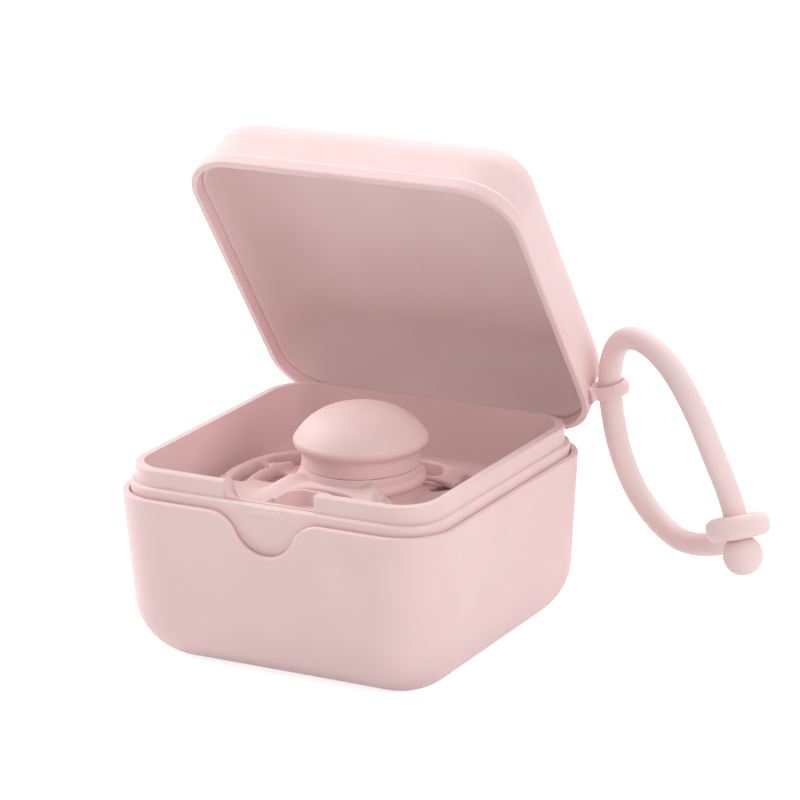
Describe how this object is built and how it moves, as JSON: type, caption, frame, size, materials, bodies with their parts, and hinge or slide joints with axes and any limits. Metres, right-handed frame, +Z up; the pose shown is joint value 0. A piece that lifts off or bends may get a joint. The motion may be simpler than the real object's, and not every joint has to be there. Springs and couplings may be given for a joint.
{
  "type": "pacifier sterilizer case",
  "caption": "Small rounded box with a hinged lid and a carrying strap, holding one soother on a lift-out tray over a water cup.",
  "frame": {"origin": "centre of the case's footprint, on its flat underside", "axes": "+Z up, the front with the thumb notch faces -Y, the lid hinges along the back on an axis parallel to X"},
  "size_m": [0.1135, 0.0812, 0.0987],
  "materials": {
    "casing": "fine satin, injection moulded",
    "cup": "fine satin, injection moulded",
    "tray": "fine satin, injection moulded",
    "liner": "matt, slightly translucent",
    "pin": "plain",
    "strap": "soft silicone, matt",
    "shield": "soft satin",
    "knob": "soft satin",
    "nipple": "soft silicone, matt"
  },
  "bodies": {
    "case": {"outer_shell": "casing", "inner_cup": "cup", "hinge_pin_left": "pin", "hinge_pin_right": "pin"},
    "lid": {"lid_shell": "casing", "lid_liner": "liner"},
    "tray": {"insert_tray": "tray"},
    "soother": {"soother_shield": "shield", "soother_knob": "knob", "soother_plug": "knob", "soother_nipple": "nipple"},
    "strap": {"carry_strap": "strap", "strap_eyelet": "strap", "strap_ball": "strap"}
  },
  "joints": [
    {"name": "lid_hinge", "type": "hinge", "parent": "case", "child": "lid", "pos_m": [0, 0.0363, 0.0341], "axis": [-1, 0, 0], "range_deg": [-56, 49]},
    {"name": "tray_lift", "type": "slide", "parent": "case", "child": "tray", "axis": [0, 0, 1], "range_m": [0, 0.0008]},
    {"name": "soother_lift", "type": "slide", "parent": "tray", "child": "soother", "axis": [0, 0, 1], "range_m": [0, 0.001]},
    {"name": "strap_swing", "type": "hinge", "parent": "lid", "child": "strap", "pos_m": [0.03855, 0.03565, 0.04561], "axis": [-0.21, -0.0851, 0.974], "range_deg": [-40, 60]}
  ]
}
